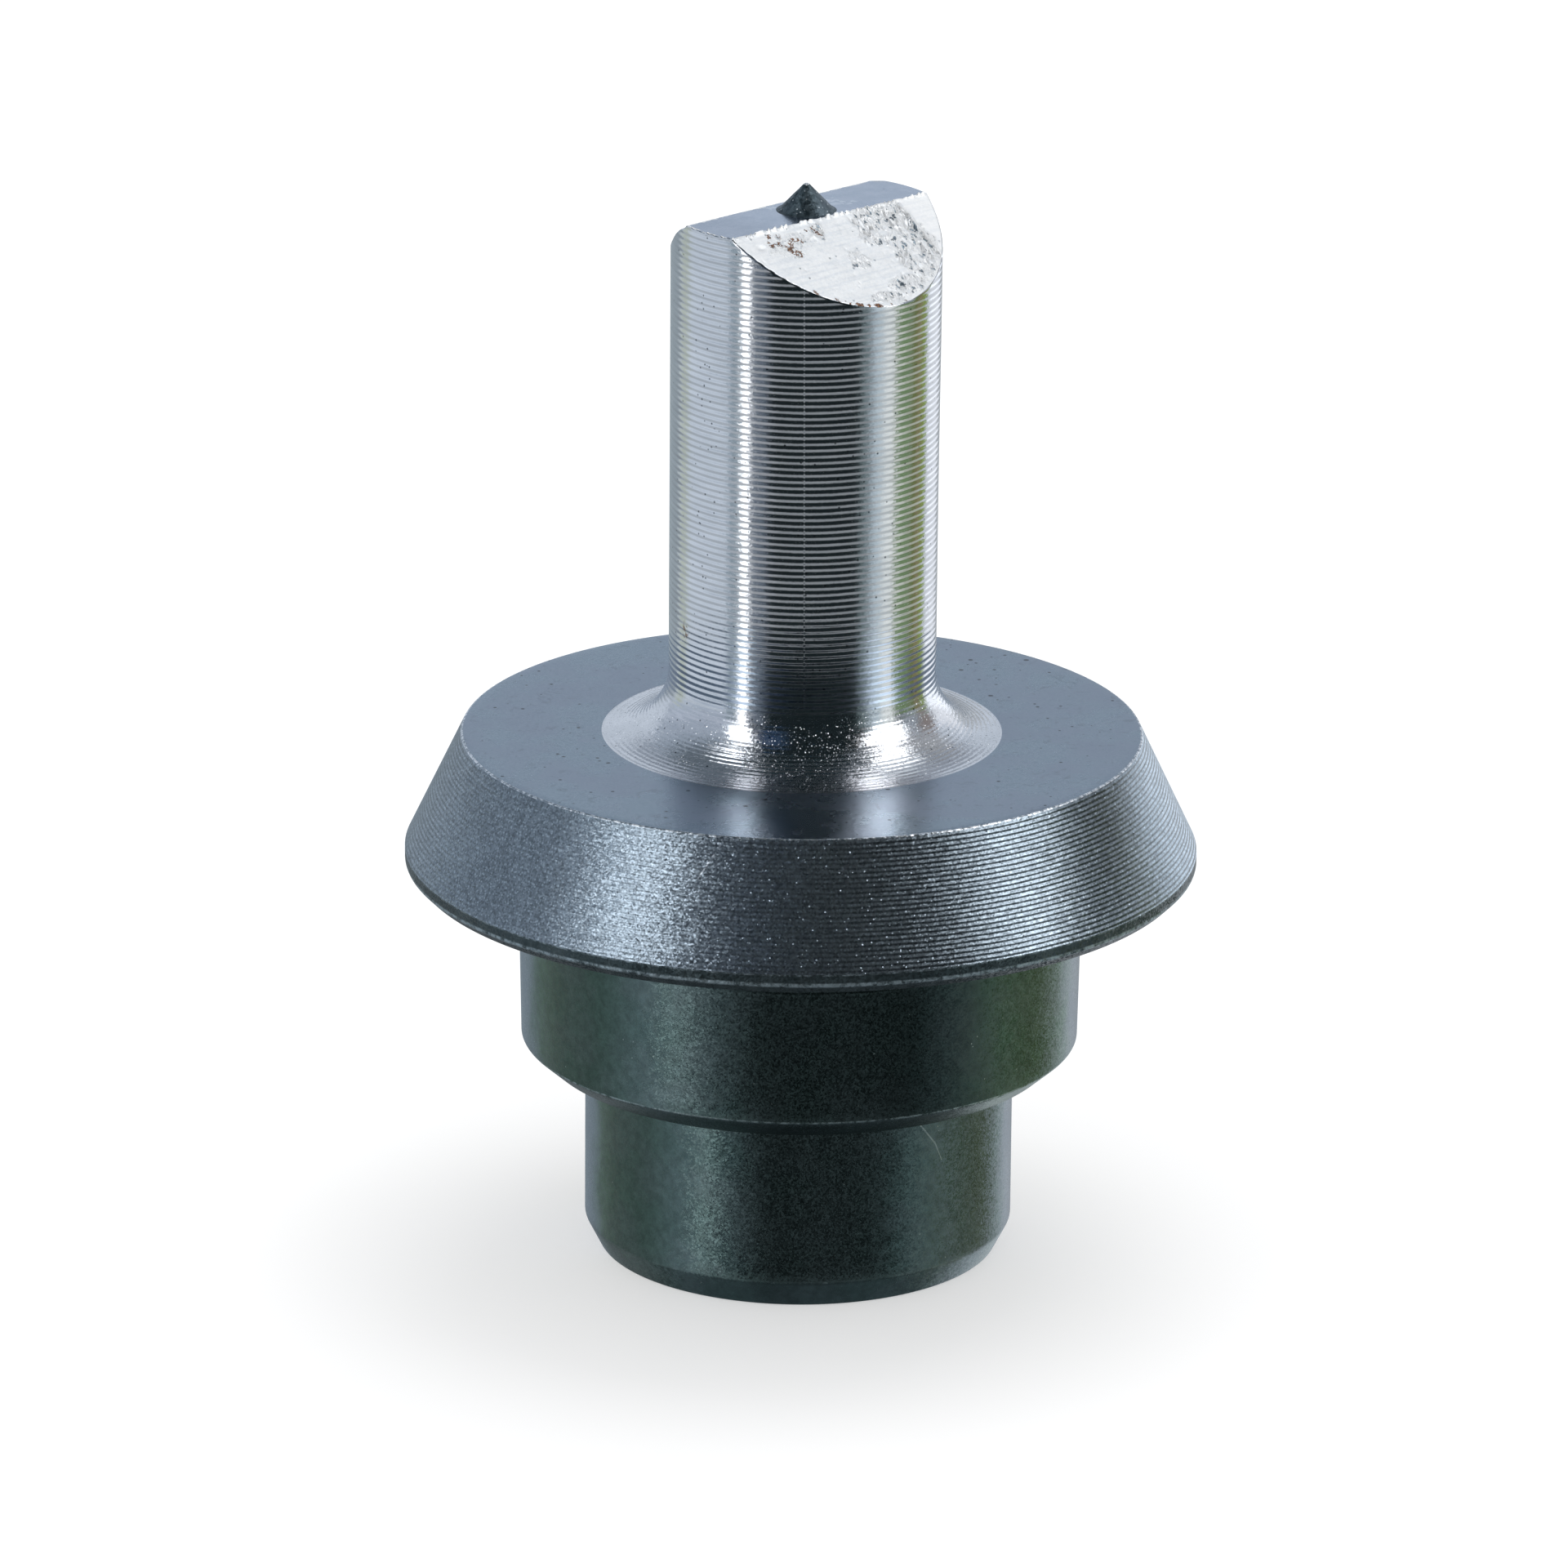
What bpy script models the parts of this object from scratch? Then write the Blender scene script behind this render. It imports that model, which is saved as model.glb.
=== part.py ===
"""Piercing punch, turned from one bar of tool steel, with a roof-shaped point and a centre spike.

The punch stands on the end of its shank. The origin is the centre of that end face, +Z runs along the
turning axis to the point, and the land across the point runs along X. Sizes are in metres.
"""
import math

import bmesh
import bpy

# Shank, the lowest step, which enters the ram
SHANK_DIAMETER = 0.0194
SHANK_LENGTH = 0.00907
SHANK_CHAMFER_HEIGHT = 0.00129
SHANK_CHAMFER_WIDTH = 0.00066

# Collar above the shank, a little slimmer at its lower edge so that it finds its seat
COLLAR_DIAMETER = 0.0255
COLLAR_LENGTH = 0.00881
COLLAR_RELIEF = 0.00015
COLLAR_CHAMFER_HEIGHT = 0.0009
COLLAR_CHAMFER_WIDTH = 0.00103

# Flange, a cone that the retaining nut draws down, with a narrow upright lip
FLANGE_DIAMETER = 0.0357
FLANGE_FACE_DIAMETER = 0.0306
FLANK_HEIGHT = 0.00535
LIP_HEIGHT = 0.00055
LIP_CHAMFER = 0.00042

# Body, the round length that enters the work
BODY_DIAMETER = 0.012
BODY_LENGTH = 0.02422
FILLET_RADIUS = 0.003

# Point, a flat land between two sloping shear faces
LAND_WIDTH = 0.0031
SHEAR_SLOPE = math.radians(34)

# Centre spike, which finds the punch mark in the work
SPIKE_FOOT_DIAMETER = 0.00252
SPIKE_TIP_DIAMETER = 0.00026
SPIKE_HEIGHT = 0.00124
SPIKE_FOOT_FILLET = 0.0002

# Overrun of the cutters past the body and above the land
CUTTER_OVERRUN = 0.0001

# Mesh settings
MERGE_DISTANCE = 0.000001
FULL_TURN = math.tau
ROUND_SEGMENTS = 96
FILLET_SEGMENTS = 8
FOOT_SEGMENTS = 3
SHARP_ANGLE = math.radians(20)

# Sizes that follow from those above
SHANK_RADIUS = SHANK_DIAMETER / 2
COLLAR_RADIUS = COLLAR_DIAMETER / 2
FLANGE_RADIUS = FLANGE_DIAMETER / 2
FLANGE_FACE_RADIUS = FLANGE_FACE_DIAMETER / 2
BODY_RADIUS = BODY_DIAMETER / 2
SHOULDER_Z = SHANK_LENGTH
FLANGE_SEAT_Z = SHOULDER_Z + COLLAR_LENGTH
LIP_TOP_Z = FLANGE_SEAT_Z + LIP_CHAMFER + LIP_HEIGHT
FLANGE_FACE_Z = LIP_TOP_Z + FLANK_HEIGHT
LAND_Z = FLANGE_FACE_Z + BODY_LENGTH
LAND_HALF_WIDTH = LAND_WIDTH / 2

# Finishes of the steel, in the order of the material slots: base colour, metallic, roughness
FINISHES = {
    "blackened_steel": ((0.09, 0.105, 0.12, 1), 0.9, 0.42),
    "dulled_steel": ((0.3, 0.34, 0.4, 1), 0.95, 0.38),
    "ground_steel": ((0.72, 0.74, 0.77, 1), 1.0, 0.24),
}


def clear_scene():
    """Take away whatever the scene holds."""
    for item in list(bpy.data.objects):
        bpy.data.objects.remove(item, do_unlink=True)


def finish_material(name):
    """A Principled material for one finish of the steel."""
    colour, metallic, roughness = FINISHES[name]
    material = bpy.data.materials.new(name)
    material.use_nodes = True
    material.diffuse_color = colour
    shader = material.node_tree.nodes["Principled BSDF"]
    shader.inputs["Base Color"].default_value = colour
    shader.inputs["Metallic"].default_value = metallic
    shader.inputs["Roughness"].default_value = roughness
    return material


def slot_index(name):
    """The place of a finish among the material slots."""
    return list(FINISHES).index(name)


def holder_outline():
    """Radius and height from the shank's end up to the rim of the flange's upper face."""
    lower_radius = COLLAR_RADIUS - COLLAR_RELIEF
    return [
        (SHANK_RADIUS - SHANK_CHAMFER_WIDTH, 0),
        (SHANK_RADIUS, SHANK_CHAMFER_HEIGHT),
        (SHANK_RADIUS, SHOULDER_Z),
        (lower_radius - COLLAR_CHAMFER_WIDTH, SHOULDER_Z),
        (lower_radius, SHOULDER_Z + COLLAR_CHAMFER_HEIGHT),
        (COLLAR_RADIUS, FLANGE_SEAT_Z),
        (FLANGE_RADIUS - LIP_CHAMFER, FLANGE_SEAT_Z),
        (FLANGE_RADIUS, FLANGE_SEAT_Z + LIP_CHAMFER),
        (FLANGE_RADIUS, LIP_TOP_Z),
        (FLANGE_FACE_RADIUS, FLANGE_FACE_Z),
    ]


def face_outline():
    """The flat upper face of the flange, from its rim in to the foot of the body's fillet."""
    return [(FLANGE_FACE_RADIUS, FLANGE_FACE_Z), (BODY_RADIUS + FILLET_RADIUS, FLANGE_FACE_Z)]


def body_outline():
    """Radius and height up the round fillet and the straight body to the height of the land."""
    centre_radius = BODY_RADIUS + FILLET_RADIUS
    centre_z = FLANGE_FACE_Z + FILLET_RADIUS
    outline = []
    for step in range(FILLET_SEGMENTS + 1):
        turn = FULL_TURN / 4 * step / FILLET_SEGMENTS
        radius = centre_radius - FILLET_RADIUS * math.sin(turn)
        height = centre_z - FILLET_RADIUS * math.cos(turn)
        outline.append((radius, height))
    outline.append((BODY_RADIUS, LAND_Z))
    return outline


def spike_outline():
    """Radius and height from the land's rim, up the spike's small foot fillet, to its blunt tip."""
    foot_radius = SPIKE_FOOT_DIAMETER / 2
    tip_radius = SPIKE_TIP_DIAMETER / 2
    steepness = math.atan2(SPIKE_HEIGHT, foot_radius - tip_radius)
    centre_radius = foot_radius + SPIKE_FOOT_FILLET * math.tan(steepness / 2)
    centre_z = LAND_Z + SPIKE_FOOT_FILLET
    outline = [(BODY_RADIUS, LAND_Z)]
    for step in range(FOOT_SEGMENTS + 1):
        turn = steepness * step / FOOT_SEGMENTS
        radius = centre_radius - SPIKE_FOOT_FILLET * math.sin(turn)
        height = centre_z - SPIKE_FOOT_FILLET * math.cos(turn)
        outline.append((radius, height))
    outline.append((tip_radius, LAND_Z + SPIKE_HEIGHT))
    return outline


def spin_outline(bm, outline, finish):
    """Turn an outline once round Z and give its faces one finish."""
    older = set(bm.faces)
    points = [bm.verts.new((radius, 0, height)) for radius, height in outline]
    runs = [bm.edges.new(ends) for ends in zip(points, points[1:])]
    bmesh.ops.spin(bm, geom=points + runs, cent=(0, 0, 0), axis=(0, 0, 1), angle=FULL_TURN,
                   steps=ROUND_SEGMENTS, use_merge=True)
    for face in bm.faces:
        if face not in older:
            face.material_index = slot_index(finish)


def turned_blank(materials):
    """The whole turned bar, before its shear faces are cut."""
    bm = bmesh.new()
    spin_outline(bm, holder_outline(), "blackened_steel")
    spin_outline(bm, face_outline(), "dulled_steel")
    spin_outline(bm, body_outline(), "ground_steel")
    spin_outline(bm, spike_outline(), "dulled_steel")
    bmesh.ops.remove_doubles(bm, verts=bm.verts, dist=MERGE_DISTANCE)
    rims = [edge for edge in bm.edges if edge.is_boundary]
    bmesh.ops.holes_fill(bm, edges=rims, sides=ROUND_SEGMENTS)
    bmesh.ops.recalc_face_normals(bm, faces=bm.faces)
    mesh = bpy.data.meshes.new("piercing_punch")
    bm.to_mesh(mesh)
    bm.free()
    for material in materials:
        mesh.materials.append(material)
    mesh.shade_smooth()
    mesh.set_sharp_from_angle(angle=SHARP_ANGLE)
    punch = bpy.data.objects.new("piercing_punch", mesh)
    bpy.context.collection.objects.link(punch)
    return punch


def wedge_mesh(materials):
    """A prism whose sloping underside leaves one shear face, falling away from the land's edge."""
    rise = CUTTER_OVERRUN * math.tan(SHEAR_SLOPE)
    inner = LAND_HALF_WIDTH - CUTTER_OVERRUN
    outer = BODY_RADIUS + CUTTER_OVERRUN
    fall = (outer - LAND_HALF_WIDTH) * math.tan(SHEAR_SLOPE)
    top = LAND_Z + SPIKE_HEIGHT
    section = [(-inner, LAND_Z + rise), (-outer, LAND_Z - fall), (-outer, top), (-inner, top)]
    bm = bmesh.new()
    near = [bm.verts.new((-outer, across, height)) for across, height in section]
    face = bm.faces.new(near)
    swept = bmesh.ops.extrude_face_region(bm, geom=[face])
    moved = [item for item in swept["geom"] if isinstance(item, bmesh.types.BMVert)]
    bmesh.ops.translate(bm, verts=moved, vec=(2 * outer, 0, 0))
    bmesh.ops.recalc_face_normals(bm, faces=bm.faces)
    for item in bm.faces:
        item.material_index = slot_index("ground_steel")
    mesh = bpy.data.meshes.new("shear_wedge")
    bm.to_mesh(mesh)
    bm.free()
    for material in materials:
        mesh.materials.append(material)
    return mesh


def cut_shear_faces(punch, materials):
    """Cut both sides of the point, the second with the same wedge turned half round."""
    wedge = wedge_mesh(materials)
    for side, turn in (("front", 0), ("back", FULL_TURN / 2)):
        cutter = bpy.data.objects.new("shear_cutter_" + side, wedge)
        cutter.rotation_euler = (0, 0, turn)
        cutter.hide_render = True
        cutter.display_type = "WIRE"
        bpy.context.collection.objects.link(cutter)
        cut = punch.modifiers.new("shear_" + side, "BOOLEAN")
        cut.operation = "DIFFERENCE"
        cut.solver = "EXACT"
        cut.object = cutter


def main():
    clear_scene()
    materials = [finish_material(name) for name in FINISHES]
    punch = turned_blank(materials)
    cut_shear_faces(punch, materials)


main()
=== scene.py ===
"""Looks of the piercing punch: its worn turned steel, a pale floor, soft studio light and the camera."""
import math

import bpy
import numpy as np
from mathutils import Matrix, Vector


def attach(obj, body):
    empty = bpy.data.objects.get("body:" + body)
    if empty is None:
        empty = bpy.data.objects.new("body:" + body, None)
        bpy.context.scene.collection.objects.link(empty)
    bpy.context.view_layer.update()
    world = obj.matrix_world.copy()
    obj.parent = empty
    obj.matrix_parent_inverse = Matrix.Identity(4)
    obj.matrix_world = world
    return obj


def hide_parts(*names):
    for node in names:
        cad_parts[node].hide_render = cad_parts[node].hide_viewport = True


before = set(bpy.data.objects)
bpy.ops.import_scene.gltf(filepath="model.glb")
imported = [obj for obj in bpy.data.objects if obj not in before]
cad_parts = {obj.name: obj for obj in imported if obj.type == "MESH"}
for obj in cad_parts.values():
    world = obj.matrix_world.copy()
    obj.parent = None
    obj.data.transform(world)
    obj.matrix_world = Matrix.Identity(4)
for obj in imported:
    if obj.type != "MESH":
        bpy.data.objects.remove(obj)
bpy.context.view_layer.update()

MM = 0.001

# Sizes of the punch in millimetres, the same as in the solid. A chamfer is its width, then its height.
SHANK_R = 9.7
SHANK_CHAMFER = (0.66, 1.29)
SHOULDER_Z = 9.07
COLLAR_R = 12.75
COLLAR_RELIEF = 0.15
COLLAR_CHAMFER = (1.03, 0.9)
SEAT_Z = 17.88
LIP_R = 17.85
LIP_CHAMFER = 0.42
LIP_HEIGHT = 0.55
FLANK_HEIGHT = 5.35
FACE_R = 15.3
BODY_R = 6.0
BODY_LENGTH = 24.22
FILLET_R = 3.0
SHEAR = math.radians(34)
SPIKE_FOOT_R = 1.26
SPIKE_TIP_R = 0.13
SPIKE_HEIGHT = 1.24
SPIKE_FILLET = 0.2
LIP_TOP_Z = SEAT_Z + LIP_CHAMFER + LIP_HEIGHT
FACE_Z = LIP_TOP_Z + FLANK_HEIGHT
LAND_Z = FACE_Z + BODY_LENGTH

# The worn land: where it ends at the front and at the back, and how far its back edge is out of true
LAND_FRONT = -1.46
LAND_BACK = 1.64
LAND_SKEW = 0.012

# How far use has spread the body near its point, between which heights, and over what arc
SPREAD_MOST = 0.15
SPREAD_HEIGHTS = (33.0, 47.0)
SPREAD_ARC = math.radians(45)

# How far the bright rim of the flange, partly worn steel and partly painted glints, reaches in over its
# upper face
BRIGHT_RIM = 0.1

# Mesh settings. Along each edge of the land, rows of their own lie closer together than the others.
PROFILE_STEP = 0.45
ROUNDING_STEP = 15
HOLDER_AROUND = 384
FILLET_STEPS = 26
BODY_RINGS = 10
POINT_ROWS = 296
ACROSS = 226
EDGE_ROWS = 4
EDGE_ROW_STEP = 0.03
EDGE_ROW_GAP = 0.14
ROW_LEAN_REACH = 0.8
SPIKE_AROUND = 96
SPIKE_FOOT_STEPS = 5
SPIKE_CONE_STEPS = 14

# The rim of the point: how far inside the body it lies, and how far below it the last rings lie
POINT_INSET = 0.04
RIM_DROPS = (0.13, 0.06, 0.022)
LAST_RING_SHARE = 0.7

# The spike: how far its foot is sunk in the land, and how uneven it is
SPIKE_SUNK = 0.02
SPIKE_WOBBLE = 0.012

# The bearing that the photo's view looks along, from +Y towards +X, and what is right and near in that view
VIEW_AZIMUTH = math.radians(42.98)
VIEW_RIGHT = (math.cos(VIEW_AZIMUTH), -math.sin(VIEW_AZIMUTH), 0.0)
VIEW_NEAR = (-math.sin(VIEW_AZIMUTH), -math.cos(VIEW_AZIMUTH), 0.0)

# Torn places of the front shear face: centre, reach along and down the face, how many gouges, how deep
TORN = [
    (2.1, -2.0, 0.8, 0.35, 14, 0.06),
    (3.1, -2.2, 0.7, 0.6, 23, 0.08),
    (3.7, -3.3, 0.5, 0.9, 23, 0.09),
    (1.32, -2.7, 0.42, 0.34, 11, 0.08),
    (-0.21, -3.65, 0.36, 0.28, 7, 0.07),
    (2.3, -4.2, 0.35, 0.45, 10, 0.08),
    (2.5, -3.3, 0.5, 0.4, 6, 0.05),
    (1.3, -5.2, 0.7, 0.3, 16, 0.05),
    (3.0, -4.7, 0.5, 0.3, 7, 0.05),
    (-3.2, -2.3, 0.9, 0.4, 10, 0.04),
    (-1.2, -2.0, 0.3, 0.25, 4, 0.04),
    (-0.4, -5.5, 0.7, 0.15, 9, 0.04),
]

# Torn place of the back shear face: its centre, and the reach of its pits and of its torn look
BACK_TORN = (1.2, 3.4)
BACK_PITS_REACH = (2.2, 1.1)
BACK_WEIGHT_REACH = (2.6, 1.3)
SCATTERED_PITS = 36
BACK_PITS = 60

# Rust specks on the front shear face: centre and size
RUST_SPECKS = [
    (-3.84, -1.72, 0.16), (-4.02, -2.08, 0.2), (-3.62, -2.16, 0.16), (-3.06, -2.22, 0.22),
    (-3.3, -2.45, 0.18), (-2.95, -2.79, 0.2), (-3.15, -2.65, 0.16), (-2.42, -2.22, 0.16),
    (-2.7, -2.05, 0.14), (-1.17, -2.19, 0.17), (-1.3, -1.95, 0.13), (-1.34, -1.69, 0.14),
    (-3.35, -1.8, 0.14), (-1.75, -1.85, 0.1),
]

# How far below the land the torn look and the rust reach
TORN_DOWN = 3.6
RUST_DOWN = 3.2

# Raised ridge near the end of the front shear face, and the groove beside it
RIDGE_LEAN = 0.07
RIDGE_WANDER = 0.14
RIDGE_HEIGHT = 0.04
RIDGE_GROOVE = 0.06

# Burrs: along the land's front edge and at one end of the land, and the rim that they stand on
CREST_HEIGHT = 0.125
END_BURR_HEIGHT = 0.07
RIM_R = 5.93


# Noise for shapes

def ease(t):
    return t * t * (3 - 2 * t)


class LatticeNoise:
    """Smooth noise on a lattice of seeded random numbers, the same on each run."""

    def __init__(self, seed, size=64):
        self.size = size
        self.table = np.random.default_rng(seed).random((size, size)) * 2 - 1

    def __call__(self, u, v):
        i, j = np.floor(u).astype(int), np.floor(v).astype(int)
        fu, fv = ease(u - i), ease(v - j)
        n = self.size
        a, b = self.table[i % n, j % n], self.table[(i + 1) % n, j % n]
        c, d = self.table[i % n, (j + 1) % n], self.table[(i + 1) % n, (j + 1) % n]
        return (a * (1 - fu) + b * fu) * (1 - fv) + (c * (1 - fu) + d * fu) * fv


FINE = LatticeNoise(12)
TEETH = LatticeNoise(13)


def layered(noise, u, v, octaves):
    """The sum of a noise and finer, fainter copies of it."""
    total = 0
    for k in range(octaves):
        total = total + noise(u * 2 ** k + 7.3 * k, v * 2 ** k + 3.1 * k) / 2 ** k
    return total


def smooth(low, high, x):
    """A soft step from 0 at one value to 1 at another, which may be the lower one."""
    return ease(np.clip((x - low) / (high - low), 0, 1))


# The turned profile

def rounded(corners):
    """Points along a profile whose corners (radius, height, rounding) are rounded by short arcs."""
    points = []
    last = len(corners) - 1
    for k, (r, z, rounding) in enumerate(corners):
        here = np.array([r, z])
        if k in (0, last) or rounding == 0:
            points.append(here)
            continue
        before = np.array(corners[k - 1][:2]) - here
        after = np.array(corners[k + 1][:2]) - here
        before /= np.linalg.norm(before)
        after /= np.linalg.norm(after)
        half = math.acos(float(np.clip(before @ after, -1, 1))) / 2
        reach = rounding / math.tan(half)
        bisector = before + after
        bisector /= np.linalg.norm(bisector)
        centre = here + bisector * rounding / math.sin(half)
        start = here + before * reach - centre
        end = here + after * reach - centre
        turn = math.pi - 2 * half
        sign = 1 if start[0] * end[1] - start[1] * end[0] > 0 else -1
        steps = max(2, int(math.degrees(turn) / ROUNDING_STEP))
        for s in range(steps + 1):
            a = sign * turn * s / steps
            c, d = math.cos(a), math.sin(a)
            points.append(centre + np.array([c * start[0] - d * start[1], d * start[0] + c * start[1]]))
    return points


def subdivided(points, step):
    """The same line with points no further apart than the step."""
    out = [points[0]]
    for a, b in zip(points, points[1:]):
        count = max(1, math.ceil(np.linalg.norm(b - a) / step))
        for k in range(1, count + 1):
            out.append(a + (b - a) * k / count)
    return out


def holder_profile():
    """The profile of the holder end, from the middle of the shank's end face up to the fillet's foot."""
    low_r = COLLAR_R - COLLAR_RELIEF
    # Each corner: radius, height, rounding
    corners = [
        (0, 0, 0),
        (SHANK_R - SHANK_CHAMFER[0], 0, 0.15),
        (SHANK_R, SHANK_CHAMFER[1], 0.4),
        (SHANK_R, SHOULDER_Z, 0),
        (low_r - COLLAR_CHAMFER[0], SHOULDER_Z, 0.06),
        (low_r, SHOULDER_Z + COLLAR_CHAMFER[1], 0.12),
        (COLLAR_R, SEAT_Z, 0),
        (LIP_R - LIP_CHAMFER, SEAT_Z, 0.06),
        (LIP_R, SEAT_Z + LIP_CHAMFER, 0.1),
        (LIP_R, LIP_TOP_Z, 0.08),
        (FACE_R, FACE_Z, 0.11),
        (BODY_R + FILLET_R, FACE_Z, 0),
    ]
    return subdivided(rounded(corners), PROFILE_STEP)


def holder_finish(r0, z0, r1, z1):
    """Which finish a run of the holder end's profile has. Each gives way beside an edge, not on it."""
    middle = (z0 + z1) / 2
    if middle <= SEAT_Z + 0.02 and max(r0, r1) < LIP_R - LIP_CHAMFER + 0.01:
        return "oxide"
    if middle < LIP_TOP_Z - 0.03:
        return "lip"
    if middle < FACE_Z - 0.13:
        return "flank"
    if min(r0, r1) > FACE_R - BRIGHT_RIM:
        return "edge"
    return "face"


def fillet_profile():
    """The arc of the fillet, from the flange's face up to the body."""
    points = []
    for k in range(FILLET_STEPS + 1):
        turn = math.pi / 2 * k / FILLET_STEPS
        r = BODY_R + FILLET_R * (1 - math.sin(turn))
        z = FACE_Z + FILLET_R * (1 - math.cos(turn))
        points.append(np.array([r, z]))
    return points


def spike_profile():
    """The spike's foot fillet, its cone and its blunt tip, as radius and height."""
    steep = math.atan2(SPIKE_HEIGHT, SPIKE_FOOT_R - SPIKE_TIP_R)
    centre_r = SPIKE_FOOT_R + SPIKE_FILLET * math.tan(steep / 2)
    profile = [(centre_r + SPIKE_SUNK, LAND_Z - SPIKE_SUNK), (centre_r, LAND_Z + 0.001)]
    for k in range(1, SPIKE_FOOT_STEPS + 1):
        turn = steep * k / SPIKE_FOOT_STEPS
        r = centre_r - SPIKE_FILLET * math.sin(turn)
        z = LAND_Z + SPIKE_FILLET * (1 - math.cos(turn))
        profile.append((r, z))
    foot_r, foot_z = profile[-1]
    top_z = LAND_Z + SPIKE_HEIGHT
    cone_r, cone_z = SPIKE_TIP_R - 0.01, top_z - 0.05
    for share in np.linspace(0, 1, SPIKE_CONE_STEPS + 1)[1:]:
        profile.append((foot_r + (cone_r - foot_r) * share, foot_z + (cone_z - foot_z) * share))
    profile.append((SPIKE_TIP_R - 0.06, top_z - 0.01))
    return profile


# The worn point

def land_back(x):
    """Where the land ends towards the back, a little out of true with the front."""
    return LAND_BACK + LAND_SKEW * x


def spread(angles, z):
    """How far use has spread the body near its point, most of it towards one end of the land."""
    turn = (angles + math.pi) % math.tau - math.pi
    return SPREAD_MOST * np.exp(-(turn / SPREAD_ARC) ** 2) * smooth(*SPREAD_HEIGHTS, z)


def point_angles():
    """Steps round the rim of the point, where the rows across it end, closest along the land's edges."""
    reach = BODY_R - POINT_INSET
    rows = reach * np.sin(np.linspace(-math.pi / 2, math.pi / 2, POINT_ROWS + 1))[1:-1]
    for edge in (LAND_FRONT, LAND_BACK):
        rows = rows[np.abs(rows - edge) > EDGE_ROW_GAP]
        rows = np.append(rows, edge + np.arange(-EDGE_ROWS, EDGE_ROWS) * EDGE_ROW_STEP)
    rows = np.sort(rows)
    lean = LAND_SKEW * BODY_R * np.exp(-((rows - LAND_BACK) / ROW_LEAN_REACH) ** 2)
    sides = []
    for side in (1, -1):
        wanted = rows + side * lean
        turn = np.arcsin(wanted / reach)
        for _ in range(4):
            angle = turn if side > 0 else math.pi - turn
            turn = np.arcsin(wanted / (reach + spread(angle, LAND_Z)))
        sides.append(turn if side > 0 else math.pi - turn)
    return np.concatenate([[-math.pi / 2], sides[0], [math.pi / 2], sides[1][::-1]])


def gouges():
    """Pits and flakes of the shear faces: centre, half sizes, turn and depth, below 0 for a flake."""
    rng = np.random.default_rng(5)
    found = []
    for cx, cy, rx, ry, count, depth in TORN:
        for _ in range(count):
            x, y = cx + rng.normal() * rx * 0.7, cy + rng.normal() * ry * 0.7
            long_half = rng.uniform(0.1, 0.26)
            short_half = long_half * rng.uniform(0.3, 0.6)
            turn = math.pi / 2 + rng.normal() * 0.5
            amount = depth * rng.uniform(0.6, 1.4) * (1 if rng.random() < 0.6 else -0.7)
            found.append((x, y, long_half, short_half, turn, amount))
    for side_y in (1, -1):
        for _ in range(SCATTERED_PITS):
            x, y = rng.uniform(-5.2, 5.2), side_y * rng.uniform(1.7, 5.8)
            half = rng.uniform(0.05, 0.12)
            found.append((x, y, half, half * 0.7, rng.uniform(0, math.pi), rng.uniform(0.006, 0.02)))
    for _ in range(BACK_PITS):
        x = BACK_TORN[0] + rng.normal() * BACK_PITS_REACH[0]
        y = BACK_TORN[1] + rng.normal() * BACK_PITS_REACH[1]
        half = rng.uniform(0.07, 0.2)
        found.append((x, y, half, half * 0.6, rng.uniform(0, math.pi), rng.uniform(0.01, 0.05)))
    return found


GOUGES = gouges()


def torn_depth(x, y):
    """How deep the shear faces are gouged at a place."""
    depth = np.zeros_like(x)
    for cx, cy, a, b, turn, amount in GOUGES:
        c, d = math.cos(turn), math.sin(turn)
        near = (np.abs(x - cx) < 3 * a) & (np.abs(y - cy) < 3 * a)
        if not near.any():
            continue
        dx, dy = x[near] - cx, y[near] - cy
        q = ((c * dx + d * dy) / a) ** 2 + ((c * dy - d * dx) / b) ** 2
        depth[near] += amount * np.exp(-q * 1.6)
    ridge_x = 4.02 - RIDGE_LEAN * (y + 1.6) + RIDGE_WANDER * TEETH(y / 0.28, 31.5)
    on_ridge = smooth(-1.55, -1.8, y) * smooth(-4.9, -4.2, y)
    away = x - ridge_x
    groove = RIDGE_GROOVE * np.exp(-((away + 0.14) / 0.07) ** 2)
    ridge = RIDGE_HEIGHT * np.exp(-((away - 0.04) / 0.09) ** 2)
    depth += on_ridge * (groove - ridge)
    return depth


def roof_height(x, y):
    """Height of the worn point over a place: the land, its two shear faces and their damage."""
    front = np.maximum(0, LAND_FRONT - y)
    back = np.maximum(0, y - land_back(x))
    out = np.maximum(front, back)
    swell = 0.1 * np.exp(-((back - 0.95) / 0.6) ** 2) * smooth(0.0, 0.35, back) * smooth(-3.0, -4.5, x)
    z = LAND_Z - out * math.tan(SHEAR) + swell
    on_facet = smooth(0.0, 0.12, out)
    rough = layered(FINE, x / 0.9, y / 0.5, 2)
    r = np.hypot(x, y)
    inside = smooth(BODY_R - 0.02, BODY_R - 0.3, r)
    z = z - on_facet * (0.005 * (rough + 1) + torn_depth(x, y) * (0.35 + 0.65 * inside))
    corner = np.exp(-((r - 6.05) / 0.22) ** 2) * np.exp(-((y - LAND_BACK) / 0.28) ** 2)
    z = z - 0.05 * corner
    crest = np.exp(-((y - LAND_FRONT + 0.015) / 0.05) ** 2)
    stand = smooth(-0.25, 0.45, TEETH(x / 0.13, 5.5)) * np.clip(0.8 + 0.7 * TEETH(x / 1.1, 2.2), 0.15, 1.2)
    rim = np.exp(-((r - RIM_R) / 0.06) ** 2) * smooth(-4.4, -5.4, x) * (out < 0.01)
    end_teeth = np.clip(TEETH(y / 0.12, 8.5) + 0.2, 0, 1)
    return z + CREST_HEIGHT * crest * stand + END_BURR_HEIGHT * rim * end_teeth


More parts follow.
